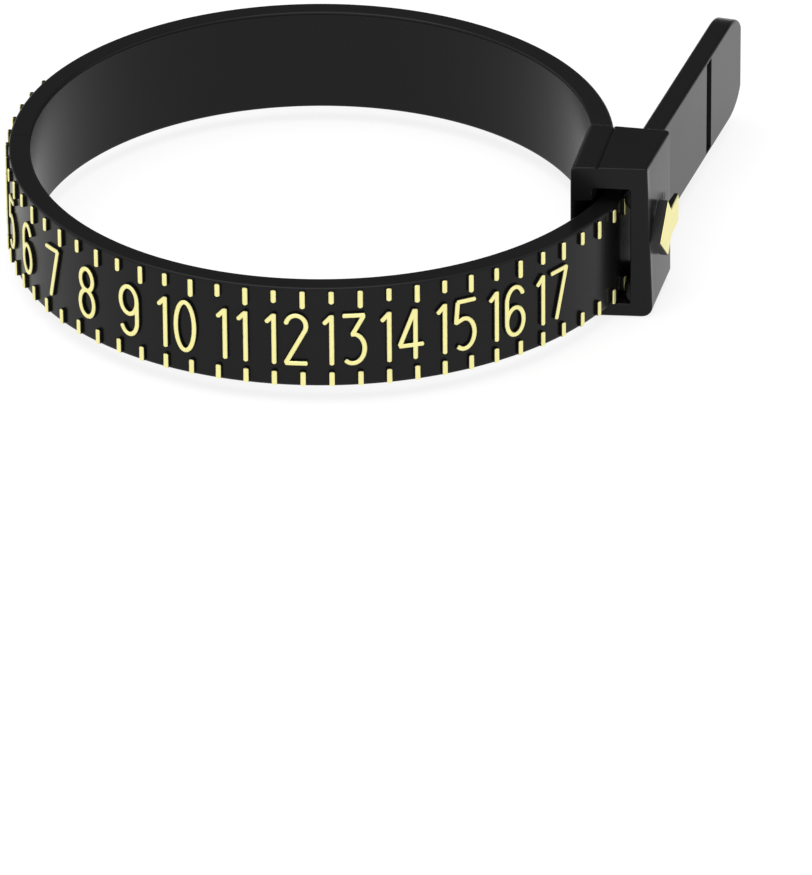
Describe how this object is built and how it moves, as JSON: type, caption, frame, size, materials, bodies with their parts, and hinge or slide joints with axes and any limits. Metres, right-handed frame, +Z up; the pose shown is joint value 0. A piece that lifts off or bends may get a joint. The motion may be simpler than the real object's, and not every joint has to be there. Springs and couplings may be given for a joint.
{
  "type": "finger sizer belt",
  "caption": "Flexible strap looped through its own buckle head to measure a finger's ring size against raised half-size marks.",
  "frame": {"origin": "middle of the bounding box's underside, where the buckle head's bottom stands", "axes": "+Z up across the strap's width; +Y from the slot's mouth through the buckle head towards the tail; +X from the loop to the head's outer face"},
  "size_m": [0.0318, 0.0324, 0.0077],
  "materials": {
    "black_plastic": "moulded satin black",
    "gold_foil": "hot-stamped gold foil, bright"
  },
  "bodies": {
    "head": {"buckle_head": "black_plastic", "click_boss_upper": "black_plastic", "click_boss_lower": "black_plastic", "pointer_arrow": "black_plastic", "pointer_foil": "gold_foil"},
    "tail": {"strap_tail": "black_plastic"},
    "zone_01": {"strap_zone_01": "black_plastic"},
    "zone_02": {"strap_zone_02": "black_plastic"},
    "zone_03": {"strap_zone_03": "black_plastic"},
    "zone_04": {"strap_zone_04": "black_plastic"},
    "zone_05": {"strap_zone_05": "black_plastic"},
    "zone_06": {"strap_zone_06": "black_plastic"},
    "zone_07": {"strap_zone_07": "black_plastic"},
    "zone_08": {"strap_zone_08": "black_plastic"},
    "zone_09": {"strap_zone_09": "black_plastic"},
    "zone_10": {"strap_zone_10": "black_plastic"},
    "zone_11": {"strap_zone_11": "black_plastic"},
    "zone_12": {"strap_zone_12": "black_plastic"}
  },
  "joints": [
    {"name": "strap_slide", "type": "slide", "parent": "head", "child": "tail", "axis": [0.1045, 0.9945, 0], "range_m": [-0.0051, 0.00382]},
    {"name": "flex_01", "type": "hinge", "parent": "tail", "child": "zone_01", "pos_m": [0.01322, -0.00469, 0.00335], "axis": [0, 0, 1], "range_deg": [-15, 11.5]},
    {"name": "flex_02", "type": "hinge", "parent": "zone_01", "child": "zone_02", "pos_m": [0.01177, -0.00821, 0.00335], "axis": [0, 0, 1], "range_deg": [-5.5, 7]},
    {"name": "flex_03", "type": "hinge", "parent": "zone_02", "child": "zone_03", "pos_m": [0.0085, -0.01209, 0.00335], "axis": [0, 0, 1], "range_deg": [-3, 4]},
    {"name": "flex_04", "type": "hinge", "parent": "zone_03", "child": "zone_04", "pos_m": [0.00165, -0.0153, 0.00335], "axis": [0, 0, 1], "range_deg": [-1, 1]},
    {"name": "flex_05", "type": "hinge", "parent": "zone_04", "child": "zone_05", "pos_m": [-0.00588, -0.01464, 0.00335], "axis": [0, 0, 1], "range_deg": [-2, 1.5]},
    {"name": "flex_06", "type": "hinge", "parent": "zone_05", "child": "zone_06", "pos_m": [-0.01204, -0.01025, 0.00335], "axis": [0, 0, 1], "range_deg": [-2.5, 2]},
    {"name": "flex_07", "type": "hinge", "parent": "zone_08", "child": "zone_07", "pos_m": [-0.01413, 0.00416, 0.00335], "axis": [0, 0, 1], "range_deg": [-8.5, 6.5]},
    {"name": "flex_08", "type": "hinge", "parent": "zone_09", "child": "zone_08", "pos_m": [-0.00957, 0.00994, 0.00335], "axis": [0, 0, 1], "range_deg": [-8, 6]},
    {"name": "flex_09", "type": "hinge", "parent": "zone_10", "child": "zone_09", "pos_m": [-0.00268, 0.01256, 0.00335], "axis": [0, 0, 1], "range_deg": [-1, 1]},
    {"name": "flex_10", "type": "hinge", "parent": "zone_11", "child": "zone_10", "pos_m": [0.00456, 0.01123, 0.00335], "axis": [0, 0, 1], "range_deg": [-4, 5]},
    {"name": "flex_11", "type": "hinge", "parent": "zone_12", "child": "zone_11", "pos_m": [0.01004, 0.0063, 0.00335], "axis": [0, 0, 1], "range_deg": [-4.5, 6]},
    {"name": "flex_12", "type": "hinge", "parent": "head", "child": "zone_12", "pos_m": [0.01209, -0.00076, 0.00335], "axis": [0, 0, 1], "range_deg": [-2.5, 2]}
  ],
  "couplings": [
    {"joint": "flex_01", "follows": "strap_slide", "rad_per_m": 50.605},
    {"joint": "flex_02", "follows": "strap_slide", "rad_per_m": -23.376},
    {"joint": "flex_03", "follows": "strap_slide", "rad_per_m": -11.713},
    {"joint": "flex_04", "follows": "strap_slide", "rad_per_m": -2.328},
    {"joint": "flex_05", "follows": "strap_slide", "rad_per_m": 5.821},
    {"joint": "flex_06", "follows": "strap_slide", "rad_per_m": 6.921},
    {"joint": "flex_07", "follows": "strap_slide", "rad_per_m": 27.788},
    {"joint": "flex_08", "follows": "strap_slide", "rad_per_m": 25.388},
    {"joint": "flex_09", "follows": "strap_slide", "rad_per_m": 1.256},
    {"joint": "flex_10", "follows": "strap_slide", "rad_per_m": -16.059},
    {"joint": "flex_11", "follows": "strap_slide", "rad_per_m": -18.905},
    {"joint": "flex_12", "follows": "strap_slide", "rad_per_m": 6.463}
  ]
}
